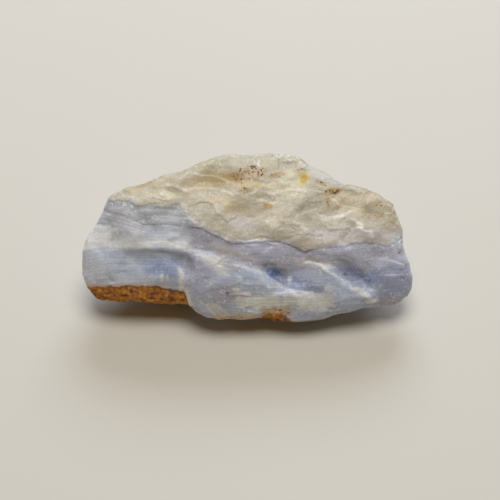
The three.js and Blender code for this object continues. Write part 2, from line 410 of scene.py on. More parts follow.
QUARTZ_MARKS = (
    Mark(Shade.CREAM_QUARTZ, (-22.5, 10.6), (7.5, 1.9), 10, 0.8),
    Mark(Shade.WHITE_FLAKE, (-20.2, 10.6), (2.8, 0.9), -16, 0.85),
    Mark(Shade.WHITE_FLAKE, (-21, 8.2), (3, 0.6), -4, 0.6),
    Mark(Shade.CLEAR_QUARTZ, (-17.7, 11.4), (2, 0.65), -16, 0.2, 0.4),
    Mark(Shade.CLEAR_QUARTZ, (-21.3, 9.6), (2.1, 0.5), -10, 0.3, 0.4),
    Mark(Shade.TAN_QUARTZ, (-26.8, 12.2), (2.9, 0.5), 14, 0.8),
    Mark(Shade.TAN_QUARTZ, (-8.4, 13.4), (6.2, 2.2), 4, 0.85),
    Mark(Shade.TAN_QUARTZ, (-5, 14.6), (3.4, 1.6), 6, 0.55),
    Mark(Shade.YELLOW_FLAKE, (-10.4, 12.9), (3.2, 0.4), 4, 0.4),
    Mark(Shade.CREAM_QUARTZ, (-10.5, 10.4), (5, 0.8), -3, 0.5),
    Mark(Shade.TAN_QUARTZ, (-6, 8.6), (5.4, 1.5), -14, 0.4),
    Mark(Shade.PALE_LOBE, (4, 18.6), (13, 2.2), 0, 0.8, 0.5, 0.3),
    Mark(Shade.YELLOW_FLAKE, (1.4, 12.8), (4.4, 0.9), -3, 0.85),
    Mark(Shade.WHITE_FLAKE, (9.4, 12), (4.6, 1.9), -12, 0.7),
    Mark(Shade.WHITE_FLAKE, (8, 10.2), (4.4, 0.7), -6, 0.55),
    Mark(Shade.CLEAR_QUARTZ, (15.4, 9), (3.4, 1.9), 14, 0.6),
    Mark(Shade.CLEAR_QUARTZ, (1.4, 8), (3.4, 0.9), -6, 0.5),
    Mark(Shade.WHITE_FLAKE, (10.8, 15.4), (2.6, 1.2), 0, 0.6),
    Mark(Shade.COOL_RIM, (17.8, 15), (6, 0.9), -24, 0.6, 0.5, 0.25),
    Mark(Shade.WHITE_FLAKE, (21.4, 8.8), (1, 0.9), 0, 0.85),
    Mark(Shade.WHITE_FLAKE, (24.2, 10.1), (2, 0.5), -8, 0.5),
    Mark(Shade.TAN_QUARTZ, (27, 8), (5, 3), 0, 0.35, 0.9),
    Mark(Shade.CLEAR_QUARTZ, (12, 4.4), (4.5, 1.2), -4, 0.4),
    Mark(Shade.WHITE_FLAKE, (6.4, 3.6), (2, 1.2), 0, 0.5),
    Mark(Shade.PINK_QUARTZ, (-1.5, 3), (4.5, 1.6), -8, 0.6, 0.9),
    Mark(Shade.PINK_QUARTZ, (25, 0.6), (10, 1.8), 0, 0.75),
    Mark(Shade.LILAC, (36.2, -0.4), (1.6, 2), 20, 0.7),
    # painted glints: rows of white dots where light catches small quartz facets
    Mark(Shade.BRUISE_AND_GLINT, (17.6, 5.2), (1.4, 0.3), -10, 0.45, 0.5, 1),
    Mark(Shade.BRUISE_AND_GLINT, (21.8, 5), (2, 0.4), 12, 0.5, 0.5, 1),
    Mark(Shade.BRUISE_AND_GLINT, (24.4, 6.1), (1.6, 0.3), 28, 0.45, 0.5, 1),
    Mark(Shade.BRUISE_AND_GLINT, (10, 3.3), (1.8, 0.35), -16, 0.6, 0.5, 1),
    Mark(Shade.BRUISE_AND_GLINT, (13.4, 2.1), (1.6, 0.5), -24, 0.5, 0.5, 1),
    Mark(Shade.BRUISE_AND_GLINT, (27, 3.2), (0.9, 1.1), 20, 0.5, 0.5, 1),
    # stains round weathered grains of iron ore
    Mark(Shade.RUST_SPOT, (-1.7, 14.6), (2.1, 1.4), 0, 0.75, 0.9, 0.6, 0.5),
    Mark(Shade.RUST_SPOT, (1.2, 15.9), (3.2, 1.3), 0, 0.6, 0.8, 0.7, 1),
    Mark(Shade.RUST_SPOT, (6.6, 15.2), (1.9, 0.7), 8, 0.85, 0.7, 0.7, 0.6),
    Mark(Shade.OCHRE_HALO, (13.6, 14.5), (1.7, 1.9), 0, 0.7),
    Mark(Shade.OCHRE, (13.6, 14.2), (1.05, 1.25), 0, 1, 0.5, 0.35),
    Mark(Shade.RUST_SPOT, (17.6, 13.2), (1.5, 0.5), -28, 0.7, 0.7, 0.6, 0.8),
    Mark(Shade.RUST_SPOT, (20.6, 11.2), (1.9, 0.7), 4, 1, 0.6, 0.6, 1),
    Mark(Shade.RUST_SPOT, (19.4, 8.9), (0.8, 1.5), 0, 0.6, 0.7, 0.6, 0.4),
    Mark(Shade.RUST_SPOT, (22, 7.2), (0.8, 0.5), 0, 0.5, 0.7, 0.6, 0.6),
    Mark(Shade.RUST_SPOT, (4.8, 7.6), (1.3, 0.7), -30, 0.85, 0.6, 0.6, 0.3),
    Mark(Shade.RUST_SPOT, (-0.9, 11.3), (1.7, 0.7), 0, 0.9, 0.8, 0.5, 0.4),
    Mark(Shade.RUST_SPOT, (31.4, 5), (1.9, 0.9), 6, 0.2, 0.9, 0.6, 0.35),
    Mark(Shade.RUST_SPOT, (32, 7.8), (1.4, 0.9), 0, 0.2, 0.8, 0.6, 0.5),
    Mark(Shade.RUST_SPOT, (37, -3.5), (0.6, 0.5), 0, 0.6, 0.5, 0.4, 0.8),
)
LEFT_MARKS = (
    Mark(Shade.LILAC_GREY, (-28.4, 8.2), (3.6, 0.9), -6, 0.8, 0.4),
    Mark(Shade.LILAC_GREY, (-31.4, 7), (1.4, 2.2), 0, 0.5),
    Mark(Shade.LILAC_PINK, (-29, 3), (3.2, 2), -10, 0.7),
    Mark(Shade.SKY_BLUE, (-19.6, 1.4), (6, 1.4), -5, 0.75),
    Mark(Shade.SUGAR_WHITE, (-36.4, 0.8), (4, 2.6), 16, 0.95),
    Mark(Shade.LILAC, (-15, -2.2), (1.8, 1), -8, 0.5),
    Mark(Shade.PALE_GREY, (-37, -7), (2.8, 3.8), 0, 0.75, 0.8),
    Mark(Shade.BLUE_DEEP, (-20.4, -6.2), (5, 3.6), 0, 0.85, 0.9, 0.2),
    Mark(Shade.BLUE_DARK, (-20.4, -8), (3.6, 1.1), -2, 0.7, 1.1),
    Mark(Shade.BLUE_DEEP, (-29, -8.3), (3.3, 0.3), 5, 0.8),
    # painted light: a pale band just under the white lip, which lightens the crease that the lip
    # shades
    Mark(Shade.PALE_BLUE, (-24, -4.3), (11, 1.4), 0, 0.85, 1),
    Mark(Shade.SUGAR_WHITE, (-29, -10), (7, 1), 0, 0.25),
    Mark(Shade.SUGAR_WHITE, (-20.8, -9.9), (0.4, 0.8), 0, 0.8),
    Mark(Shade.SUGAR_WHITE, (-19.5, -9.9), (0.3, 0.7), 0, 0.7),
    Mark(Shade.SUGAR_WHITE, (-16.2, -8.6), (0.6, 1.5), 20, 0.85, 0.5, 0.3),
    Mark(Shade.SUGAR_WHITE, (-16, -11), (0.9, 1.7), 0, 0.7, 0.5, 0.3),
)
LOWER_MARKS = (
    Mark(Shade.SHADED_LILAC, (-12.2, -8.4), (3.2, 4.8), 14, 0.85, 0.8, 0.3),
    Mark(Shade.STRIP_BROWN, (-5, -3.4), (7, 1.3), -16, 0.6),
    Mark(Shade.SUGAR_WHITE, (-9.6, -5), (3.8, 1.5), -28, 0.4),
    Mark(Shade.BRUISE_AND_GLINT, (-7, -6.8), (3, 1.8), -30, 0.45, 0.9),
    Mark(Shade.PALE_BLUE, (1.4, -9.7), (5.2, 1.9), -10, 0.85, 0.5, 0.25),
    Mark(Shade.BROWN_FACET, (-5, -14.2), (3.8, 2.4), 0, 0.7, 0.9),
    Mark(Shade.RUST_DEEP, (-5, -13.6), (0.6, 0.4), 20, 0.6),
    Mark(Shade.BRUISE_AND_GLINT, (-2.6, -12.6), (1.2, 0.4), -10, 0.8),
    Mark(Shade.BRUISE_AND_GLINT, (-0.9, -13.7), (1.9, 0.4), -6, 0.85),
    Mark(Shade.BRUISE_AND_GLINT, (3.8, -13.6), (0.5, 0.9), 10, 0.5),
    Mark(Shade.GREEN_WHITE, (4, -16), (6.4, 2), -2, 0.9),
    Mark(Shade.PALE_FOOT, (-7.4, -17.9), (3.6, 1.2), -22, 0.85, 0.4),
    Mark(Shade.CREAM_QUARTZ, (-2.6, -18.9), (6, 0.9), 4, 0.7),
    Mark(Shade.GREEN_WHITE, (15, -15.6), (6, 2.6), -4, 0.85),
    Mark(Shade.SUGAR_WHITE, (13.4, -13.6), (4.4, 0.8), -8, 0.75),
    Mark(Shade.BROWN_FACET, (11.6, -16.9), (2, 0.9), -10, 0.6, 0.9, 0.8),
    Mark(Shade.STRIP_BROWN, (15.4, -6.2), (4.4, 1.5), -6, 0.6),
    Mark(Shade.SUGAR_WHITE, (18.4, -6.9), (3, 0.6), -14, 0.6),
    # the hollow under the near crest: the band's own blue with painted shade
    Mark(Shade.SHADED_HOLLOW_BLUE, (6.6, -9), (2.8, 1.2), -32, 0.95, 0.5, 0.2),
    Mark(Shade.BLUE_DARK, (12.6, -11.6), (5.4, 1.6), -12, 0.75, 0.7),
    Mark(Shade.SUGAR_WHITE, (10.1, -9.9), (0.6, 0.7), 0, 0.7),
    Mark(Shade.SUGAR_WHITE, (19.6, -12.4), (1.2, 1), 0, 0.75, 0.7, 0.2),
    Mark(Shade.PALE_BLUE, (23.4, -12), (4.6, 2.2), -22, 0.6, 0.6),
    # the hollow under the middle crest: painted shade over the band's own blue
    Mark(Shade.SHADED_HOLLOW_DARK, (26, -9.4), (4.8, 1.6), -24, 0.9, 0.6, 0.2),
    Mark(Shade.SHADED_HOLLOW_BLUE, (30.4, -10), (2.6, 1.9), 0, 0.5, 0.8, 0.2),
    Mark(Shade.BRUISE_AND_GLINT, (27.4, -13.5), (2.2, 0.5), -26, 0.7),
    Mark(Shade.LOBE_BLUE, (36, -10.6), (4.4, 4), 0, 0.85, 0.7, 0.15),
    Mark(Shade.BROWN_FACET, (35, -15.4), (4.4, 1.2), 10, 0.75, 0.9),
    Mark(Shade.BRUISE_AND_GLINT, (29.8, -15.6), (1.5, 0.5), 4, 0.6),
    Mark(Shade.RUST_SPOT, (6.6, -18.2), (3.6, 1.4), 4, 0.95, 0.9, 0.7, 0.3),
    Mark(Shade.RUST_BRIGHT, (-4.4, -19.8), (5, 0.5), 4, 0.6, 0.8, 0.9, 0.2),
)
MARKS = QUARTZ_MARKS + LEFT_MARKS + LOWER_MARKS
# The marks that are smooth, without sugar.
SMOOTH_SHADES = (Shade.LOBE_BLUE, Shade.PALE_BLUE, Shade.PALE_LOBE)
# White edges over the face; their white is partly bruised stone and partly painted glints, most of
# all in the second and third ribs on the quartz.
RIBS = (
    Rib(((-15.3, 11.3), (-11, 11.7), (-6.4, 11.3), (-3.9, 10)), 0.4, 0.12, 0.25),
    Rib(((18, 4), (20.4, 4.7), (22.4, 4.5), (24, 5.6), (25.7, 6.3)), 0.4, 0.06, 0.15),
    Rib(((8, 4), (10, 3.8), (12.8, 2.9)), 0.4, 0.1, 0.2),
    Rib(((-23.5, 9.8), (-21, 9.2), (-19.3, 9)), 0.4, 0.1, 0.2),
    Rib(((-19.6, 12.4), (-17.4, 12.2), (-15.5, 11.2)), 0.4, 0.1, 0.2),
    Rib(((2, 11.2), (6, 10.6), (11, 11.4), (14, 11)), 0.4, 0.08, 0.15),
    Rib(((-16.8, -7.4), (-15.7, -9.2), (-16.4, -12.6)), 0.4, 0.12, 0.35),
    Rib(((-15.1, -13), (-14.6, -14.6), (-13.9, -16.4)), 0.6, 0.15, 0.8),
)


# The finish.

@dataclass(frozen=True)
class SkinFields:
    """What the agate's finish reads from each point of the skin."""

    colour: bpy.types.NodeSocket
    banded: bpy.types.NodeSocket
    sugary: bpy.types.NodeSocket
    earthy: bpy.types.NodeSocket
    layer_mm: bpy.types.NodeSocket
    rusty_pits: bpy.types.NodeSocket
    place_mm: bpy.types.NodeSocket

    @classmethod
    def read(cls, tree: bpy.types.NodeTree) -> "SkinFields":
        """Adds the nodes that read the fields.

        Args:
            tree: the finish's node tree.

        Returns:
            The sockets that give them.
        """
        named = {name: add_node(tree, "ShaderNodeAttribute", attribute_name=name).outputs
                 for name in ("stone_colour", "stone_kind", "layer_mm", "rusty_pits")}
        kind = add_node(tree, "ShaderNodeSeparateColor", {0: named["stone_kind"]["Color"]}).outputs
        place = add_node(tree, "ShaderNodeTexCoord").outputs["Object"]
        in_mm = add_node(tree, "ShaderNodeMapping", {"Vector": place, "Scale": (1 / MM,) * 3})
        return cls(named["stone_colour"]["Color"], kind["Red"], kind["Green"], kind["Blue"],
                   named["layer_mm"]["Fac"], named["rusty_pits"]["Fac"], in_mm.outputs[0])


@dataclass(frozen=True)
class BrokenAgate:
    """Chalcedony and quartz as broken, never polished: waxy where banded, sparkling where coarse.

    The eye gets a soft, slightly lit-through stone with hair-thin lace lines in its blue and lilac
    layers, sugary grains that catch the light in its quartz, and dull earthy wall rock at its foot.
    The finest lace lines, fibres and grains of the real stone are a tenth of a millimetre or less.
    They are drawn about half a millimetre wide, as fine as the picture can show them.
    """

    name: str = "broken_blue_lace_agate"
    quartz_ior: float = 1.544
    glow: float = 0.7
    glow_depth_mm: float = 2.0
    glow_reach: tuple[float, float, float] = (1.0, 0.95, 0.9)
    lace_spacing_mm: float = 0.45
    lace_run_per_mm: float = 0.035
    lace_depth_per_mm: float = 0.03
    line_mm: float = 0.75
    line_wander: float = 9.0
    grain_mm: float = 0.55
    speck_mm: float = 0.45
    fleck_mm: float = 0.6
    swarm_mm: float = 4.0
    fleck_colour: str = "ecedee"
    pit_mm: float = 0.6
    pit_colour: str = "553612"
    clots_per_mm: float = 1.4
    fibres_per_mm: float = 3.2
    waxy_roughness: float = 0.42
    glassy_roughness: float = 0.33
    sugary_roughness: float = 0.75
    earthy_roughness: float = 0.45
    bump_mm: float = 0.3

    def build(self) -> bpy.types.Material:
        """Makes the material.

        Returns:
            The material, which reads the skin's colour, layer and kind attributes.
        """
        material = bpy.data.materials.new(self.name)
        material.use_nodes = True
        tree = material.node_tree
        tree.nodes.clear()
        skin = SkinFields.read(tree)
        lace = self.lace(tree, skin)
        grains = add_node(tree, "ShaderNodeTexVoronoi", {"Vector": skin.place_mm,
                                                         "Scale": 1 / self.grain_mm})
        grain = add_node(tree, "ShaderNodeSeparateColor", {0: grains.outputs["Color"]})
        pit = self.pit(tree, skin)
        toned = self.toned(tree, skin, lace, grain)
        flecked = self.flecked(tree, skin, toned)
        shader = add_node(tree, "ShaderNodeBsdfPrincipled", {
            "Base Color": self.rusted(tree, skin, flecked, pit),
            "Roughness": self.roughness(tree, skin, grain, pit),
            "Normal": self.bump(tree, skin, lace, grains),
            "IOR": self.quartz_ior,
            "Subsurface Weight": self.glow,
            "Subsurface Scale": self.glow_depth_mm * MM,
            "Subsurface Radius": self.glow_reach,
        })
        add_node(tree, "ShaderNodeOutputMaterial", {0: shader})
        return material

    def lace(self, tree: bpy.types.NodeTree, skin: SkinFields) -> bpy.types.Node:
        """Noise squashed across the layers, which are much thinner than they are wide.

        Args:
            tree: the finish's node tree.
            skin: the skin's fields.

        Returns:
            The noise.
        """
        place = add_node(tree, "ShaderNodeSeparateXYZ", {0: skin.place_mm}).outputs
        squashed = add_node(tree, "ShaderNodeCombineXYZ", {
            "X": add_node(tree, "ShaderNodeMath", {0: place["X"], 1: self.lace_run_per_mm},
                          operation="MULTIPLY"),
            "Y": add_node(tree, "ShaderNodeMath", {0: skin.layer_mm, 1: self.lace_spacing_mm},
                          operation="DIVIDE"),
            "Z": add_node(tree, "ShaderNodeMath", {0: place["Z"], 1: self.lace_depth_per_mm},
                          operation="MULTIPLY"),
        })
        return add_node(tree, "ShaderNodeTexNoise", {"Vector": squashed, "Scale": 1.0,
                                                     "Detail": 3.0, "Roughness": 0.6})

    def toned(self, tree: bpy.types.NodeTree, skin: SkinFields, lace: bpy.types.Node,
              grain: bpy.types.Node) -> bpy.types.Node:
        """Lays lace lines, grains and fine specks over the layers' colour.

        Args:
            tree: the finish's node tree.
            skin: the skin's fields.
            lace: the noise of the lace.
            grain: each quartz grain's own random values.

        Returns:
            The node that gives the colour.
        """
        phase = add_node(tree, "ShaderNodeMath", {0: skin.layer_mm, 1: math.tau / self.line_mm},
                         operation="MULTIPLY")
        wavy = add_node(tree, "ShaderNodeMath", {0: lace, 1: self.line_wander, 2: phase},
                        operation="MULTIPLY_ADD")
        lines = add_node(tree, "ShaderNodeMath", {0: wavy}, operation="SINE")
        broad = add_node(tree, "ShaderNodeMapRange", {0: lace, 1: 0.3, 2: 0.7, 3: 0.91, 4: 1.08})
        thin = add_node(tree, "ShaderNodeMapRange", {0: lines, 1: -1, 2: 1, 3: 0.94, 4: 1.05})
        lace_tone = add_node(tree, "ShaderNodeMath", {0: broad, 1: thin}, operation="MULTIPLY")
        lace_share = add_node(tree, "ShaderNodeMath", {0: skin.banded, 1: 0.8},
                              operation="MULTIPLY")
        grain_tone = add_node(tree, "ShaderNodeMapRange", {0: grain, 3: 0.95, 4: 1.05})
        grain_share = add_node(tree, "ShaderNodeMath", {0: skin.sugary, 1: 0.75},
                               operation="MULTIPLY")
        # Tiny fibres and grains break unevenly all through the stone, less so in the quartz.
        specks = add_node(tree, "ShaderNodeTexNoise", {
            "Vector": skin.place_mm, "Scale": 1 / self.speck_mm, "Detail": 2.0, "Roughness": 0.8})
        speck_tone = add_node(tree, "ShaderNodeMapRange",
                              {0: specks, 1: 0.3, 2: 0.7, 3: 0.89, 4: 1.11})
        speck_share = add_node(tree, "ShaderNodeMath", {0: skin.sugary, 1: -0.6, 2: 1.0},
                               operation="MULTIPLY_ADD")
        colour = skin.colour
        for share, tone in ((lace_share, lace_tone), (grain_share, grain_tone),
                            (speck_share, speck_tone)):
            colour = add_node(tree, "ShaderNodeMix", {SHARE: share, BASE: colour, TOP: tone},
                              data_type="RGBA", blend_type="MULTIPLY")
        return colour

    def flecked(self, tree: bpy.types.NodeTree, skin: SkinFields,
                colour: bpy.types.Node) -> bpy.types.Node:
        """Lays white flecks where the chalcedony is bruised, gathered in loose swarms; part of them
        are painted glints of sparkle.

        Args:
            tree: the finish's node tree.
            skin: the skin's fields.
            colour: the colour to lay them over.

        Returns:
            The node that gives the colour.
        """
        dots = add_node(tree, "ShaderNodeTexNoise", {
            "Vector": skin.place_mm, "Scale": 1 / self.fleck_mm, "Detail": 2.0, "Roughness": 0.7})
        swarms = add_node(tree, "ShaderNodeTexNoise", {
            "Vector": skin.place_mm, "Scale": 1 / self.swarm_mm, "Detail": 1.0})
        sharp = add_node(tree, "ShaderNodeMapRange", {0: dots, 1: 0.55, 2: 0.67, 3: 0, 4: 0.65})
        thick = add_node(tree, "ShaderNodeMapRange", {0: swarms, 1: 0.42, 2: 0.62, 3: 0.25, 4: 1})
        gathered = add_node(tree, "ShaderNodeMath", {0: sharp, 1: thick}, operation="MULTIPLY")
        plain = add_node(tree, "ShaderNodeMath", {0: skin.sugary, 1: 0.65, 2: skin.earthy},
                         operation="MULTIPLY_ADD")
        bruised = add_node(tree, "ShaderNodeMath", {0: 1.0, 1: plain}, operation="SUBTRACT",
                           use_clamp=True)
        # white flecks, partly bruised chalcedony and partly painted glints
        share = add_node(tree, "ShaderNodeMath", {0: gathered, 1: bruised}, operation="MULTIPLY")
        return add_node(tree, "ShaderNodeMix", {
            SHARE: share, BASE: colour, TOP: linear(self.fleck_colour)}, data_type="RGBA")

    def pit(self, tree: bpy.types.NodeTree, skin: SkinFields) -> bpy.types.Node:
        """Small pits in the quartz, left by grains of iron ore.

        Args:
            tree: the finish's node tree.
            skin: the skin's fields.

        Returns:
            The node that gives 1 in a pit and 0 outside.
        """
        lumps = add_node(tree, "ShaderNodeTexNoise", {
            "Vector": skin.place_mm, "Scale": 1 / self.pit_mm, "Detail": 1.0, "Roughness": 0.5})
        depth = add_node(tree, "ShaderNodeMath", {0: skin.rusty_pits, 1: 0.12, 2: lumps},
                         operation="MULTIPLY_ADD")
        deep = add_node(tree, "ShaderNodeMapRange", {0: depth, 1: 0.66, 2: 0.72})
        stained = add_node(tree, "ShaderNodeMapRange", {0: skin.rusty_pits, 1: 0.02, 2: 0.1})
        return add_node(tree, "ShaderNodeMath", {0: deep, 1: stained}, operation="MULTIPLY")

    def rusted(self, tree: bpy.types.NodeTree, skin: SkinFields, colour: bpy.types.Node,
               pit: bpy.types.Node) -> bpy.types.Node:
        """Fills the pits with dark rust, and clots the earth on the wall rock.

        Args:
            tree: the finish's node tree.
            skin: the skin's fields.
            colour: the colour to lay them over.
            pit: where the pits are.

        Returns:
            The node that gives the finished colour.
        """
        filled = add_node(tree, "ShaderNodeMath", {0: pit, 1: 0.85}, operation="MULTIPLY")
        pitted = add_node(tree, "ShaderNodeMix", {
            SHARE: filled, BASE: colour, TOP: linear(self.pit_colour)}, data_type="RGBA")
        clots = add_node(tree, "ShaderNodeTexNoise", {
            "Vector": skin.place_mm, "Scale": self.clots_per_mm, "Detail": 4.0, "Roughness": 0.7})
        tone = add_node(tree, "ShaderNodeMapRange", {0: clots, 1: 0.35, 2: 0.65, 3: 0.72, 4: 1.28})
        return add_node(tree, "ShaderNodeMix", {SHARE: skin.earthy, BASE: pitted, TOP: tone},
                        data_type="RGBA", blend_type="MULTIPLY")

    def roughness(self, tree: bpy.types.NodeTree, skin: SkinFields, grain: bpy.types.Node,
                  pit: bpy.types.Node) -> bpy.types.Node:
        """Waxy chalcedony, quartz grains each with a gloss of its own, and dull earth.

        Args:
            tree: the finish's node tree.
            skin: the skin's fields.
            grain: each quartz grain's own random values.
            pit: where the pits are.

        Returns:
            The node that gives the roughness.
        """
        waxy = self.waxy_roughness
        gloss = add_node(tree, "ShaderNodeMapRange", {
            0: grain.outputs["Green"],
            3: self.glassy_roughness - waxy,
            4: self.sugary_roughness - waxy,
        })
        stone = add_node(tree, "ShaderNodeMath", {0: gloss, 1: skin.sugary, 2: waxy},
                         operation="MULTIPLY_ADD")
        dull = add_node(tree, "ShaderNodeMath", {0: skin.earthy, 1: pit}, operation="MAXIMUM")
        return add_node(tree, "ShaderNodeMath", {0: dull, 1: self.earthy_roughness, 2: stone},
                        operation="MULTIPLY_ADD")

    def bump(self, tree: bpy.types.NodeTree, skin: SkinFields, lace: bpy.types.Node,
             grains: bpy.types.Node) -> bpy.types.Node:
        """Relief finer than the skin's mesh: fibres, grains and the lace's own edges.

        Args:
            tree: the finish's node tree.
            skin: the skin's fields.
            lace: the noise of the lace.
            grains: the quartz grains.

        Returns:
            The node that gives the normal.
        """
        fine = add_node(tree, "ShaderNodeTexNoise", {
            "Vector": skin.place_mm, "Scale": self.fibres_per_mm, "Detail": 4.0,
            "Roughness": 0.65})
        share = add_node(tree, "ShaderNodeMapRange", {0: skin.sugary, 3: 0.4, 4: 0.6})
        domed = add_node(tree, "ShaderNodeMath", {0: grains, 1: -0.25}, operation="MULTIPLY")
        grainy = add_node(tree, "ShaderNodeMath", {0: domed, 1: skin.sugary},
                          operation="MULTIPLY")
        rough = add_node(tree, "ShaderNodeMath", {0: fine, 1: share, 2: grainy},
                         operation="MULTIPLY_ADD")
        ribbed = add_node(tree, "ShaderNodeMath", {0: lace, 1: skin.banded}, operation="MULTIPLY")
        height = add_node(tree, "ShaderNodeMath", {0: ribbed, 1: 0.3, 2: rough},
                          operation="MULTIPLY_ADD")
        return add_node(tree, "ShaderNodeBump", {"Height": height, "Strength": 0.6,
                                                 "Distance": self.bump_mm * MM})


@dataclass(frozen=True)
class MattePaper:
    """Matte coated paper, a pale warm grey, which gives a soft shadow and no reflection."""

    name: str = "matte_coated_paper"
    colour: str = "bbb9b2"
    roughness: float = 0.8
    clouds_per_m: float = 9.0

    def build(self) -> bpy.types.Material:
        """Makes the material.

        Returns:
            The floor's material, with a faint unevenness in its tone.
        """
        material = bpy.data.materials.new(self.name)
        material.use_nodes = True
        tree = material.node_tree
        tree.nodes.clear()
        place = add_node(tree, "ShaderNodeTexCoord").outputs["Object"]
        cloud = add_node(tree, "ShaderNodeTexNoise", {
            "Vector": place, "Scale": self.clouds_per_m, "Detail": 2.0})
        tone = add_node(tree, "ShaderNodeMapRange", {0: cloud, 3: 0.98, 4: 1.02})
        base = add_node(tree, "ShaderNodeMix", {SHARE: 1.0, BASE: linear(self.colour), TOP: tone},
                        data_type="RGBA", blend_type="MULTIPLY")
        shader = add_node(tree, "ShaderNodeBsdfPrincipled", {"Base Color": base,
                                                             "Roughness": self.roughness})
        add_node(tree, "ShaderNodeOutputMaterial", {0: shader})
        return material


# The stone.

@dataclass
class BrokenSkin:
    """Geometry Nodes for the surface that breaking leaves: crystal facets and sugary grain."""

    facet_mm: float = 1.1
    facet_slope: float = 0.08
    grain_mm: float = 0.6
    grain_height_mm: float = 0.06
    seed: int = 4
    # how far one step of the seed moves the cells, in metres
    facet_shift: float = 0.013
    grain_shift: float = 0.029

    def tree(self, material: bpy.types.Material) -> bpy.types.GeometryNodeTree:
        """Builds the node tree.

        Args:
            material: the finish that the tree sets at its end.

        Returns:
            A tree with named inputs for the sizes above.
        """
        tree = bpy.data.node_groups.new("broken_skin", "GeometryNodeTree")
        sockets = tree.interface
        sockets.new_socket("Geometry", in_out="INPUT", socket_type="NodeSocketGeometry")
        for name in self.sizes():
            sockets.new_socket(name, in_out="INPUT", socket_type="NodeSocketFloat")
        sockets.new_socket("Geometry", in_out="OUTPUT", socket_type="NodeSocketGeometry")
        given = add_node(tree, "NodeGroupInput").outputs
        facets = self.leaning(tree, given["Facet size"], given["Seed"], self.facet_shift)
        height = add_node(tree, "ShaderNodeMath",
                          {0: given["Facet slope"], 1: given["Facet size"]}, operation="MULTIPLY")
        stepped = add_node(tree, "ShaderNodeMath", {0: facets, 1: height}, operation="MULTIPLY")
        grains = self.leaning(tree, given["Grain size"], given["Seed"], self.grain_shift)
        broken = add_node(tree, "ShaderNodeMath",
                          {0: grains, 1: given["Grain height"], 2: stepped},
                          operation="MULTIPLY_ADD")
        sugar = add_node(tree, "GeometryNodeInputNamedAttribute", {0: "sugar"},
                         data_type="FLOAT")
        lift = add_node(tree, "ShaderNodeMath", {0: broken, 1: sugar}, operation="MULTIPLY")
        outward = add_node(tree, "ShaderNodeVectorMath", {
            0: add_node(tree, "GeometryNodeInputNormal"), "Scale": lift}, operation="SCALE")
        moved = add_node(tree, "GeometryNodeSetPosition", {
            "Geometry": given["Geometry"], "Offset": outward})
        real = add_node(tree, "GeometryNodeRealizeInstances", {0: moved})
        dressed = add_node(tree, "GeometryNodeSetMaterial", {0: real, "Material": material})
        add_node(tree, "NodeGroupOutput", {0: dressed})
        return tree

    @staticmethod
    def leaning(tree: bpy.types.GeometryNodeTree, size: bpy.types.NodeSocket,
                seed: bpy.types.NodeSocket, shift: float) -> bpy.types.Node:
        """Divides the stone into cells, each with a flat face that leans its own way.

        Args:
            tree: the tree that the nodes go into.
            size: how wide a cell is, in metres.
            seed: which pattern of cells it is.
            shift: how far one step of the seed moves the pattern, in metres.

        Returns:
            The node that says how high each point stands on its cell's face.
        """
        step = add_node(tree, "ShaderNodeMath", {0: seed, 1: shift}, operation="MULTIPLY")
        moved = add_node(tree, "ShaderNodeVectorMath", {
            0: add_node(tree, "GeometryNodeInputPosition"),
            1: add_node(tree, "ShaderNodeCombineXYZ", {"X": step}),
        }, operation="ADD")
        scaled = add_node(tree, "ShaderNodeVectorMath", {
            0: moved, 1: add_node(tree, "ShaderNodeCombineXYZ", {0: size, 1: size, 2: size}),
        }, operation="DIVIDE")
        cells = add_node(tree, "ShaderNodeTexVoronoi", {"Vector": scaled, "Scale": 1.0}).outputs
        across = add_node(tree, "ShaderNodeVectorMath", {0: scaled, 1: cells["Position"]},
                          operation="SUBTRACT")
        lean = add_node(tree, "ShaderNodeVectorMath", {0: cells["Color"], 1: (0.5, 0.5, 0.5)},
                        operation="SUBTRACT")
        return add_node(tree, "ShaderNodeVectorMath", {0: across, 1: lean},
                        operation="DOT_PRODUCT")

    def sizes(self) -> dict[str, float]:
        """The tree's inputs in metres, by name."""
        return {
            "Facet size": self.facet_mm * MM,
            "Facet slope": self.facet_slope,
            "Grain size": self.grain_mm * MM,
            "Grain height": self.grain_height_mm * MM,
            "Seed": float(self.seed),
        }


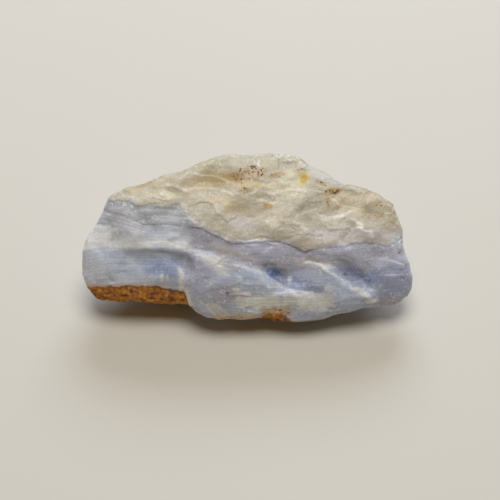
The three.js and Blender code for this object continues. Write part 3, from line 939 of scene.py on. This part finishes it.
@dataclass
class VeinStone:
    """The whole stone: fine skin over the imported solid, its relief, its layers and its finish."""

    skin_mm: float = 0.34
    smoothing: int = 5
    bulge_smoothing: int = 2
    face: FaceFrame = field(default_factory=FaceFrame)
    broken: BrokenSkin = field(default_factory=BrokenSkin)
    finish: BrokenAgate = field(default_factory=BrokenAgate)

    def build(self) -> bpy.types.Object:
        """Makes the stone's visible piece.

        Returns:
            The finished object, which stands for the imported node.
        """
        stone = self.fine_skin()
        mesh = stone.data
        places = self.read(mesh, "position")
        normals = self.read(mesh, "normal")
        layers = Layers(self.face, places, normals)
        lifted = places + normals * Relief(layers).lift()[:, None]
        lifted[:, 2] = np.maximum(lifted[:, 2], 0)
        mesh.vertices.foreach_set("co", (lifted * MM).ravel())
        mesh.update()
        Tint(layers, self.bulge(mesh)).paint(mesh)
        self.roughen(stone)
        return stone

    def bulge(self, mesh: bpy.types.Mesh) -> Array:
        """How far each point stands out from its neighbours, in spreads of the whole skin.

        Args:
            mesh: the skin.

        Returns:
            One number for each vertex, above 0 on an edge and below 0 in a hollow.
        """
        places = self.read(mesh, "position")
        ends = np.empty(len(mesh.edges) * 2, dtype=np.int32)
        mesh.edges.foreach_get("vertices", ends)
        edges = ends.reshape(-1, 2)
        around = np.column_stack([self.neighbour_mean(axis, edges) for axis in places.T])
        standing = ((places - around) * self.read(mesh, "normal")).sum(axis=1)
        for _ in range(self.bulge_smoothing):
            standing = 0.5 * standing + 0.5 * self.neighbour_mean(standing, edges)
        return standing / standing.std()

    @staticmethod
    def neighbour_mean(values: Array, edges: NDArray[np.int32]) -> Array:
        """The mean of the values at each vertex's neighbours.

        Args:
            values: one number for each vertex.
            edges: the two ends of each edge.

        Returns:
            One mean for each vertex.
        """
        here, there = np.concatenate([edges, edges[:, ::-1]]).T
        count = np.maximum(np.bincount(here, minlength=len(values)), 1)
        return np.bincount(here, values[there], len(values)) / count

    def fine_skin(self) -> bpy.types.Object:
        """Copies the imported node, merged, with a close even skin and its facets worn off.

        Returns:
            The new object, which has no finish yet.
        """
        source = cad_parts[NODE]
        merged = bmesh.new()
        merged.from_mesh(source.data)
        bmesh.ops.remove_doubles(merged, verts=merged.verts, dist=1e-7)
        mesh = bpy.data.meshes.new("agate_stone")
        merged.to_mesh(mesh)
        merged.free()
        stone = bpy.data.objects.new("agate_stone", mesh)
        bpy.context.scene.collection.objects.link(stone)
        remesh = stone.modifiers.new("skin", "REMESH")
        remesh.mode = "VOXEL"
        remesh.voxel_size = self.skin_mm * MM
        remesh.use_smooth_shade = True
        smooth = stone.modifiers.new("wear", "SMOOTH")
        smooth.factor = 0.5
        smooth.iterations = self.smoothing
        self.apply(stone)
        return stone

    @staticmethod
    def apply(stone: bpy.types.Object) -> None:
        """Replaces the stone's mesh by what its modifiers make of it.

        Args:
            stone: the object, which loses its modifiers.
        """
        graph = bpy.context.evaluated_depsgraph_get()
        made = bpy.data.meshes.new_from_object(stone.evaluated_get(graph))
        stone.modifiers.clear()
        stone.data = made

    @staticmethod
    def read(mesh: bpy.types.Mesh, what: str) -> Array:
        """Reads the vertices' positions in millimetres, or their normals.

        Args:
            mesh: the mesh to read.
            what: "position" or "normal".

        Returns:
            One row for each vertex.
        """
        values = np.empty(len(mesh.vertices) * 3)
        if what == "normal":
            mesh.vertex_normals.foreach_get("vector", values)
            return values.reshape(-1, 3)
        mesh.vertices.foreach_get("co", values)
        return values.reshape(-1, 3) / MM

    def roughen(self, stone: bpy.types.Object) -> None:
        """Breaks the skin into facets and grain with Geometry Nodes, and sets the finish.

        Args:
            stone: the object, whose mesh has the sugar attribute.
        """
        tree = self.broken.tree(self.finish.build())
        modifier = stone.modifiers.new("broken", "NODES")
        modifier.node_group = tree
        keys = {item.name: item.identifier for item in tree.interface.items_tree
                if item.in_out == "INPUT"}
        for name, value in self.broken.sizes().items():
            modifier[keys[name]] = value
        self.apply(stone)


@dataclass
class Layers:
    """Where each point of the skin lies in the vein, and which kind of stone it shows."""

    face: FaceFrame
    places: Array
    normals: Array
    # places along and up the face, and how far each point looks forward or up, from 0 to 1
    x: Array = field(init=False)
    up: Array = field(init=False)
    front: Array = field(init=False)
    faces_up: Array = field(init=False)
    # noise, from the broadest to the finest, and two kinds drawn out along the layers
    waver: Array = field(init=False)
    mottle: Array = field(init=False)
    ragged: Array = field(init=False)
    fine: Array = field(init=False)
    bedded: Array = field(init=False)
    streaks: Array = field(init=False)
    # millimetres over or under the lines of the layout
    above_seam: Array = field(init=False)
    above_cream: Array = field(init=False)
    above_blue: Array = field(init=False)
    above_rind: Array = field(init=False)
    under_near: Array = field(init=False)
    under_middle: Array = field(init=False)
    # shares from 0 to 1, and the place across the lace in millimetres
    left: Array = field(init=False)
    quartz: Array = field(init=False)
    rind: Array = field(init=False)
    lower: Array = field(init=False)
    layer: Array = field(init=False)
    # shards of chalcedony, and of quartz both large and small
    splinters: Shards = field(init=False)
    blocks: Shards = field(init=False)
    crystals: Shards = field(init=False)

    def __post_init__(self) -> None:
        """Lays the skin out on the face and sets the fields that the other methods share."""
        self.x, self.up, out = self.face.laid_out(self.places)
        on_face = np.column_stack([self.x, self.up, out])
        self.front = ramp(self.normals @ self.face.out, -0.05, 0.35)
        # how far each point faces up and back, towards the lamps; the colours darken it there as
        # painted shade
        self.faces_up = ramp(self.normals @ self.face.up, 0.3, 0.8)
        self.waver = noise_at(self.places, 9, 3.1, 2)
        self.mottle = noise_at(self.places, 3.4, 12.9, 2)
        self.ragged = noise_at(self.places, 2.2, 8.7, 3)
        self.fine = noise_at(self.places, 0.9, 5.3, 2)
        self.bedded = noise_at(on_face / np.array([2.6, 1.0, 1.4]), 1, 19.7, 3)
        self.streaks = noise_at(on_face / np.array([4.0, 0.8, 1.5]), 1, 15.1, 2)
        self.measure()
        self.sort()
        self.splinters = SPLINTERS.shards(on_face)
        self.blocks = BLOCKS.shards(on_face + 0.5 * self.ragged[:, None])
        self.crystals = CRYSTALS.shards(on_face)

    def measure(self) -> None:
        """Measures each point from the lines of the layout, which wander where nobody saw them."""
        wander = 1.4 * self.waver * (1 - self.front) + 0.3 * self.ragged
        self.above_seam = self.up - SEAM.height(self.x) + wander * 0.7
        self.above_cream = self.up - CREAM_EDGE.height(self.x) + wander
        self.above_blue = self.up - BLUE_TOP.height(self.x) + wander * 0.5
        self.above_rind = self.up - RIND_TOP.height(self.x) + wander
        self.under_near = NEAR_CREST.height(self.x) - self.up + 0.3 * self.ragged
        self.under_middle = MIDDLE_CREST.height(self.x) - self.up + 0.3 * self.ragged

    def sort(self) -> None:
        """Sorts each point by the kind of stone it shows, and finds its place in the lace."""
        sharp = ramp(self.x + 0.3 * self.ragged, -12.6, -14.8)
        self.left = sharp * self.front + ramp(self.x, 14, -30) * (1 - self.front)
        self.quartz = ramp(self.above_cream + 0.6 * self.ragged + 0.3 * self.fine, -0.5, 0.8)
        self.rind = ramp(self.above_rind, 0.15, -0.15)
        self.lower = (1 - self.left) * ramp(self.above_blue, 1.5, -0.5)
        seam, blue = SEAM.height(self.x), BLUE_TOP.height(self.x)
        depth = np.clip((seam - self.up) / (seam - blue), 0, 1)
        self.layer = (np.maximum(self.up - seam, 0) + np.minimum(self.up - blue, 0)
                      - STRIP_THICKNESS * depth)

    def within(self, trace: Trace, fade: float = 2.0) -> Array:
        """1 over the stretch of x that a trace covers, fading to 0 beyond it."""
        start, end = trace.points[0][0], trace.points[-1][0]
        return ramp(self.x, start - fade, start) * ramp(self.x, end + fade, end)


@dataclass
class Relief:
    """How far breaking and weathering lift or lower each point of the skin, in millimetres."""

    layers: Layers
    seam_groove: float = 0.08
    seam_edge: float = 0.1
    near_crest: tuple[float, float] = (0.1, 0.22)
    middle_crest: tuple[float, float] = (0.14, 0.3)
    lip: float = 0.06
    under_lip: float = 0.35
    wall: float = 0.3
    cream: float = 0.15
    earth: float = 0.2
    # how steeply the facets lean, and how far they stand over each other
    splinter: tuple[float, float] = (0.04, 0.09)
    block: tuple[float, float] = (0.02, 0.2)
    crystal: tuple[float, float] = (0.03, 0.1)

    @staticmethod
    def step(under: Array, sizes: tuple[float, float], reach: float, gap: float) -> Array:
        """A broken edge: raised just under a crest line and cut back just over it.

        Args:
            under: how far each place lies under the crest.
            sizes: how far the edge is raised and cut back.
            reach: how far down the raised side fades.
            gap: how far up the cut fades.

        Returns:
            The lift of each place.
        """
        raised = sizes[0] * np.exp(-np.maximum(under, 0) / reach) * ramp(under, -0.12, 0.12)
        cut = -sizes[1] * np.exp(np.minimum(under, 0) / gap) * ramp(under, 0.12, -0.12)
        return raised + cut

    def traced(self) -> Array:
        """The edges and grooves that follow the lines of the layout.

        Returns:
            The lift of each place.
        """
        at = self.layers
        seam = -self.seam_groove * bell(at.above_seam + 0.1, 0.3) * (1 - 0.7 * at.left)
        seam += (self.seam_edge * np.exp(-np.maximum(at.above_seam, 0) / 2.5)
                 * ramp(at.above_seam, 0, 0.4))
        near = self.step(at.under_near, self.near_crest, 2.2, 1.2) * at.within(NEAR_CREST, 0.8)
        middle = self.step(at.under_middle, self.middle_crest, 2, 1.2)
        crests = near + middle * at.within(MIDDLE_CREST, 0.8)
        chipped = np.clip(0.65 + 0.8 * at.ragged, 0.1, 1.2)
        lip = np.exp(-np.maximum(at.above_blue, 0) / 1.6) * ramp(at.above_blue, -0.1, 0.3)
        under_lip = bell(at.above_blue + 1, 1) * ramp(at.x, -34, -28)
        wall = ramp(at.above_rind, 0.15, -0.25)
        cream = np.exp(-np.maximum(at.above_cream, 0) / 2) * ramp(at.above_cream, -0.1, 0.2)
        left = (self.lip * lip + self.under_lip * under_lip - self.wall * wall
                + self.cream * cream)
        lift = seam + crests * chipped + at.left * left
        for rib in RIBS:
            lift = lift + rib.height * rib.nearness(at.x, at.up + 0.2 * at.ragged)
        return lift

    def lift(self) -> Array:
        """How far each place moves out along its normal.

        Returns:
            The lift of each place.
        """
        at = self.layers
        chalcedony = at.splinters.facets(*self.splinter) + 0.03 * at.ragged
        chalcedony = chalcedony * (1 - 0.4 * at.left)
        glassy = ramp(noise_at(at.places, 6, 6.6), -0.1, 0.25)
        quartz = at.blocks.facets(*self.block) + 0.01 * at.fine
        quartz = quartz + at.crystals.facets(*self.crystal) * (1 - 0.7 * glassy)
        body = at.quartz * quartz + (1 - at.quartz) * chalcedony
        earth = self.earth * noise_at(at.places, 1.2, 9.1, 3)
        return at.front * self.traced() + body * (1 - at.rind) + earth * at.rind


def over(base: Array, shade: Shade, share: Array) -> Array:
    """Lays a shade over colours.

    Args:
        base: linear colours, one row each.
        shade: the shade to lay over them.
        share: how much of it, cut to 0 and 1.

    Returns:
        The mixed colours.
    """
    share = np.clip(share, 0, 1)[:, None]
    return base * (1 - share) + shade.colour * share


@dataclass
class Tint:
    """The colour and kind of each point of the skin."""

    layers: Layers
    bulge: Array
    # how much painted shade darkens the surfaces that face up towards the lamps, in red, green and
    # blue
    painted_up_shade: tuple[float, float, float] = (0.36, 0.4, 0.48)

    def bruise_and_crest_highlight(self) -> Array:
        """Where the chalcedony is bruised to white sugar: along the lip and the shingles' crests.
        On the crests, which face up to the light, the white is partly a painted highlight.

        Returns:
            Numbers from 0 to 1.
        """
        at = self.layers
        lip = at.left * bell(at.above_blue - 1.2, 1.3)
        near = bell(at.under_near - 0.3, 0.5) * at.within(NEAR_CREST)
        near = near * (0.2 + 0.8 * ramp(at.x, -3, 3))
        middle = bell(at.under_middle - 0.25, 0.35) * at.within(MIDDLE_CREST)
        broken = ramp(at.ragged + 0.8 * at.fine, -0.2, 0.5)
        return at.front * np.clip(lip + (near + middle) * broken, 0, 1)

    def colours(self) -> Array:
        """The colour of each place, before grain and lace.

        Returns:
            Linear colours, one row each.
        """
        at = self.layers
        colour = self.marked(self.seamed(self.quartz_over(self.bands())))
        bruised = (1 - at.quartz) * ramp(at.ragged, 0.25, 0.75) * ramp(at.fine, 0, 0.5)
        colour = over(colour, Shade.BRUISE_AND_GLINT, 0.35 * bruised)
        colour = over(colour, Shade.BRUISE_AND_GLINT, 0.22 * ramp(self.bulge, 0.9, 2.6))
        uneven = 1 + 0.05 * at.mottle + (0.06 - 0.03 * at.quartz) * at.fine
        # painted shade: surfaces that face up and back, towards the lamps, are darkened, most in
        # blue, so that the lit rim stays dull
        painted_up_shade = at.faces_up[:, None] * np.array(self.painted_up_shade)
        return self.rind_over(colour * uneven[:, None] * (1 - painted_up_shade))

    def bands(self) -> Array:
        """The chalcedony's layers: lilac, the grey strip, the blue band and the white lip.

        Returns:
            Linear colours, one row each.
        """
        at = self.layers
        colour = np.tile(Shade.LILAC.colour, (len(at.x), 1))
        colour = over(colour, Shade.LILAC_DEEP, 0.35 + 0.7 * at.waver + 0.2 * at.ragged)
        colour = over(colour, Shade.LILAC_GREY, ramp(at.above_seam, 0.5, 2.5) * 0.6)
        strip = (1 - at.left) * ramp(at.above_seam, -7.5, -5.5)
        colour = over(colour, Shade.STRIP, strip * 0.9)
        colour = over(colour, Shade.BLUE, at.lower * (0.7 + 0.5 * at.waver))
        blue = at.left * ramp(at.above_blue, 0.12, -0.12)
        colour = over(colour, Shade.BLUE, blue)
        inside = (blue + at.lower) * (1 - at.front)
        colour = over(colour, Shade.BLUE_DEEP, 0.7 * inside * bell(at.above_blue + 3.4, 2.4))
        lip = ramp(at.above_blue, -0.1, 0.2) * ramp(at.above_blue, 2.2, 1.2)
        colour = over(colour, Shade.WHITE_LIP, at.left * lip * (0.8 + 0.4 * at.ragged))
        colour = over(colour, Shade.WHITE_LIP, at.left * ramp(at.above_blue, 6.5, 1) * 0.3)
        # white sugar, and on the crests a painted highlight
        return over(colour, Shade.SUGAR_WHITE, self.bruise_and_crest_highlight() * 0.5)

    def quartz_over(self, colour: Array) -> Array:
        """Lays the quartz over the colours, block by block and crystal by crystal.

        Args:
            colour: linear colours, one row each.

        Returns:
            The mixed colours.
        """
        at = self.layers
        block, crystal = at.blocks.drawn(2), at.crystals.drawn(2)
        colour = over(colour, Shade.GREY_QUARTZ, at.quartz)
        colour = over(colour, Shade.PINK_QUARTZ, at.quartz * ramp(at.above_seam, 3, 0) * 0.4)
        colour = over(colour, Shade.CREAM_QUARTZ, at.quartz * ramp(at.above_seam, 2, 9) * 0.45)
        clear = 0.16 * ramp(block[:, 0], 0.6, 0.7) + 0.14 * ramp(crystal[:, 0], 0.7, 0.8)
        colour = over(colour, Shade.CLEAR_QUARTZ, at.quartz * clear)
        white = 0.12 * ramp(block[:, 1], 0.75, 0.85) + 0.18 * ramp(crystal[:, 1], 0.8, 0.9)
        white += 0.3 * ramp(at.streaks, 0.1, 0.6)
        colour = over(colour, Shade.WHITE_FLAKE, at.quartz * white)
        stain = np.clip(0.4 * at.waver + 0.1, 0, 0.3) * ramp(at.above_seam, 4, 9)
        colour = over(colour, Shade.TAN_QUARTZ, at.quartz * stain)
        return self.back_over(colour)

    def back_over(self, colour: Array) -> Array:
        """Lays healed bands and weather stains over the quartz of the back and the sides.

        Args:
            colour: linear colours, one row each.

        Returns:
            The mixed colours.
        """
        at = self.layers
        unseen = at.quartz * (1 - at.front)
        height = at.above_seam + 1.6 * at.waver
        weather = ramp(at.waver - 0.2 * at.mottle, 0.1, 0.5)
        rusty = ramp(at.mottle + 0.5 * at.ragged, 0.5, 0.9)
        colour = over(colour, Shade.CREAM_QUARTZ, unseen * 0.6 * ramp(at.mottle, -0.3, 0.4))
        colour = over(colour, Shade.LILAC_DEEP, unseen * 0.7 * bell(height - 6.5, 1.0))
        colour = over(colour, Shade.WHITE_FLAKE, unseen * 0.7 * bell(height - 9.5, 0.9))
        colour = over(colour, Shade.LILAC, unseen * 0.6 * bell(height - 12, 0.6))
        colour = over(colour, Shade.TAN_QUARTZ, unseen * 0.8 * weather)
        return over(colour, Shade.RUST_SPOT, unseen * 0.7 * rusty)

    def seamed(self, colour: Array) -> Array:
        """Draws the dark seam, which comes and goes along its run; its dark is partly the seam's
        own and partly a painted shadow under the quartz's edge.

        Args:
            colour: linear colours, one row each.

        Returns:
            The mixed colours.
        """
        at = self.layers
        line = bell(at.above_seam + 0.12, 0.24)
        strength = np.clip(0.55 + 0.8 * at.waver + 0.5 * at.fine, 0, 1)
        # painted shadow along the seam, with the seam's own dark
        return over(colour, Shade.SEAM_AND_SHADOW_LINE, line * strength * (1 - 0.5 * at.left))

    def marked(self, colour: Array) -> Array:
        """Lays the single marks and ribs over the face, with every rusty mark patchy.

        Args:
            colour: linear colours, one row each.

        Returns:
            The mixed colours.
        """
        at = self.layers
        patchy = 0.55 + 0.45 * ramp(at.fine + 0.4 * at.ragged, -0.35, 0.45)
        for mark in MARKS:
            cover = mark.cover(at.x, at.up, at.ragged) * at.front
            colour = over(colour, mark.shade, cover * (patchy if mark.pits else 1))
        # the ribs' white: bruised stone and painted glints of light along the edges
        for rib in RIBS:
            near = rib.nearness(at.x, at.up + 0.2 * at.ragged)
            colour = over(colour, Shade.BRUISE_AND_GLINT, rib.white * near * at.front)
        return colour

    def rind_over(self, colour: Array) -> Array:
        """Lays the rusty wall rock over the foot, with a peach line along its top.

        Args:
            colour: linear colours, one row each.

        Returns:
            The mixed colours.
        """
        at = self.layers
        peach = bell(at.above_rind - 0.35, 0.5) * (0.5 + 0.8 * at.ragged)
        colour = over(colour, Shade.PEACH, peach)
        colour = over(colour, Shade.RUST, at.rind * (1 - 0.35 * ramp(at.waver, 0.1, 0.6)))
        grit = 0.6 * at.bedded + 0.8 * at.fine + 0.3 * at.mottle
        colour = over(colour, Shade.RUST_BRIGHT, at.rind * 0.9 * ramp(grit, 0.1, 0.6))
        return over(colour, Shade.RUST_DEEP, at.rind * 0.9 * ramp(grit, 0, -0.6))

    def rusty_pits(self) -> Array:
        """How thickly small weathered pits stand at each place.

        Returns:
            Numbers from 0 to 1.
        """
        at = self.layers
        thick = np.zeros(len(at.x))
        for mark in MARKS:
            if mark.pits:
                cover = mark.cover(at.x, at.up, at.ragged) / mark.strength
                thick = np.maximum(thick, mark.pits * cover)
        return thick * at.front

    def paint(self, mesh: bpy.types.Mesh) -> None:
        """Writes the colour, kind, layer and sugar of each place to the mesh.

        Args:
            mesh: the skin that the fields were made for.
        """
        at = self.layers
        full = np.ones(len(at.x))
        self.write(mesh, "stone_colour", "FLOAT_COLOR", np.column_stack([self.colours(), full]))
        # the bruise mask, with the crests' painted highlight; it also sets sugar and banding below
        bruise_and_highlight = np.clip(self.bruise_and_crest_highlight(), 0, 1)
        smooth = sum(mark.cover(at.x, at.up, at.ragged) for mark in MARKS
                     if mark.shade in SMOOTH_SHADES)
        sugar = np.clip(at.quartz * 0.8 + bruise_and_highlight * 0.8 - smooth * at.front, 0, 1) * (1 - at.rind)
        banded = (1 - at.quartz) * (1 - at.rind) * (1 - 0.6 * bruise_and_highlight)
        self.write(mesh, "stone_kind", "FLOAT_COLOR",
                   np.column_stack([banded, sugar, at.rind, full]))
        self.write(mesh, "layer_mm", "FLOAT", at.layer)
        self.write(mesh, "rusty_pits", "FLOAT", self.rusty_pits())
        # the rest spot stays flat
        level = ramp(at.places[:, 2], 0.05, 0.6)
        lower = at.lower * at.front * (1 - at.quartz)
        self.write(mesh, "sugar", "FLOAT", (0.15 + 0.85 * sugar + 0.55 * lower) * level)

    @staticmethod
    def write(mesh: bpy.types.Mesh, name: str, kind: str, values: Array) -> None:
        """Writes one attribute on the mesh's points.

        Args:
            mesh: the skin.
            name: the attribute's name.
            kind: "FLOAT_COLOR" or "FLOAT".
            values: one row or number for each point.
        """
        attribute = mesh.attributes.new(name, kind, "POINT")
        attribute.data.foreach_set("color" if kind == "FLOAT_COLOR" else "value",
                                   np.ascontiguousarray(values, dtype=np.float32).ravel())


# Table, light and camera.

@dataclass
class Table:
    """The pale floor that the stone lies on."""

    reach: float = 2.0
    finish: MattePaper = field(default_factory=MattePaper)

    def build(self) -> bpy.types.Object:
        """Makes the floor.

        Returns:
            A wide level sheet at z = 0.
        """
        half = self.reach
        mesh = bpy.data.meshes.new("table_top")
        mesh.from_pydata([(-half, -half, 0), (half, -half, 0), (half, half, 0), (-half, half, 0)],
                         [], [(0, 1, 2, 3)])
        mesh.materials.append(self.finish.build())
        table = bpy.data.objects.new("table_top", mesh)
        bpy.context.scene.collection.objects.link(table)
        return table


@dataclass
class Lamp:
    """One soft panel of light."""

    name: str
    place: tuple[float, float, float]
    wide: float
    tall: float
    watts: float
    colour: str = "ffffff"

    def build(self) -> None:
        """Adds the panel, turned to the stone."""
        data = bpy.data.lights.new(self.name, "AREA")
        data.shape = "ELLIPSE"
        data.size = self.wide
        data.size_y = self.tall
        data.energy = self.watts
        data.color = linear(self.colour)[:3]
        lamp = bpy.data.objects.new(self.name, data)
        lamp.location = self.place
        lamp.rotation_euler = (-Vector(self.place)).to_track_quat("-Z", "Y").to_euler()
        bpy.context.scene.collection.objects.link(lamp)


@dataclass
class Studio:
    """A tall cool window behind the table, and a warm ceiling that lights all from above."""

    lamps: tuple[Lamp, ...] = (
        Lamp("window", (0.08, 0.83, 0.55), 0.75, 0.36, 8.8, "e4eefe"),
        Lamp("ceiling", (0.03, 0.1, 0.95), 0.6, 0.6, 7.55, "fffdf8"),
    )
    sky: str = "ffd698"
    sky_strength: float = 0.18

    def build(self) -> None:
        """Adds the lamps and the even light of the room."""
        for lamp in self.lamps:
            lamp.build()
        world = bpy.data.worlds.new("room")
        world.use_nodes = True
        background = world.node_tree.nodes["Background"]
        background.inputs[0].default_value = linear(self.sky)
        background.inputs[1].default_value = self.sky_strength
        bpy.context.scene.world = world
        bpy.context.scene.view_settings.view_transform = "Standard"


@dataclass
class PhotoView:
    """The camera: above the front of the stone, square to its broken face."""

    face: FaceFrame = field(default_factory=FaceFrame)
    distance_mm: float = 380.0
    picture_mm: float = 121.2
    aim: tuple[float, float] = (0.5, -3.1)

    def build(self) -> None:
        """Adds the camera and makes it the scene's."""
        data = bpy.data.cameras.new("photo_view")
        data.sensor_width = 36.0
        data.lens = data.sensor_width * self.distance_mm / self.picture_mm
        camera = bpy.data.objects.new("photo_view", data)
        along, up = self.aim
        target = np.array(self.face.origin) + np.array([along, 0, 0]) + self.face.up * up
        camera.location = Vector((target + self.face.out * self.distance_mm) * MM)
        camera.rotation_euler = (self.face.rise, 0, 0)
        bpy.context.scene.collection.objects.link(camera)
        bpy.context.scene.camera = camera


def main() -> None:
    """Builds the view, the table, the light and the stone."""
    logging.basicConfig(level=logging.INFO, format="%(name)s: %(message)s")
    PhotoView().build()
    Table().build()
    Studio().build()
    stone = VeinStone().build()
    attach(stone, BODY)
    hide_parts(NODE)
    log.info("%s: %d vertices", stone.name, len(stone.data.vertices))


if __name__ == "__main__":
    main()
